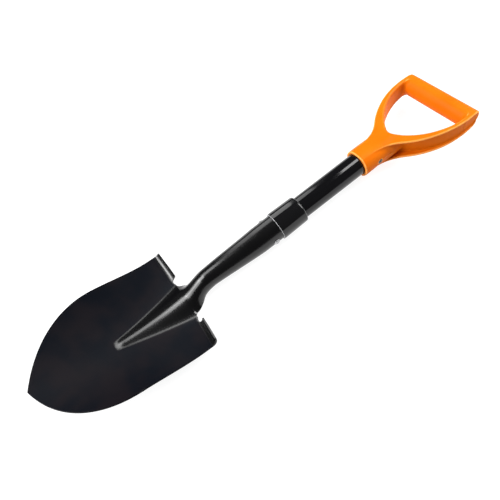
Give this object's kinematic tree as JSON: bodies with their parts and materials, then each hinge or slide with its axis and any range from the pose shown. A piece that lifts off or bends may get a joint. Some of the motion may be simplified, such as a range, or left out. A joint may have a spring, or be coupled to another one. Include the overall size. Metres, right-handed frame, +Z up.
{
  "type": "round point shovel",
  "caption": "Short round point shovel: dished, pointed steel blade with a ridge, turned steps and a closed socket, a collar, a tubular shaft and a moulded D-grip.",
  "frame": {"origin": "on the ground under the middle of the length and width, with the shovel lying on its back", "axes": "+Z up out of the dished face, +Y along the length towards the grip, +X to the right seen from above with the grip at the top"},
  "size_m": [0.1664, 0.6792, 0.0573],
  "materials": {
    "black_steel": "satin powder coat",
    "black_tube": "gloss",
    "hardwood": "sawn",
    "bright_steel": "zinc plated",
    "black_collar": "gloss",
    "orange_plastic": "semi-gloss"
  },
  "bodies": {
    "root": {"blade": "black_steel", "shaft": "black_tube", "shaft_core": "hardwood", "socket_rivet": "bright_steel", "collar": "black_collar", "grip": "orange_plastic", "grip_screw": "bright_steel"}
  },
  "joints": []
}
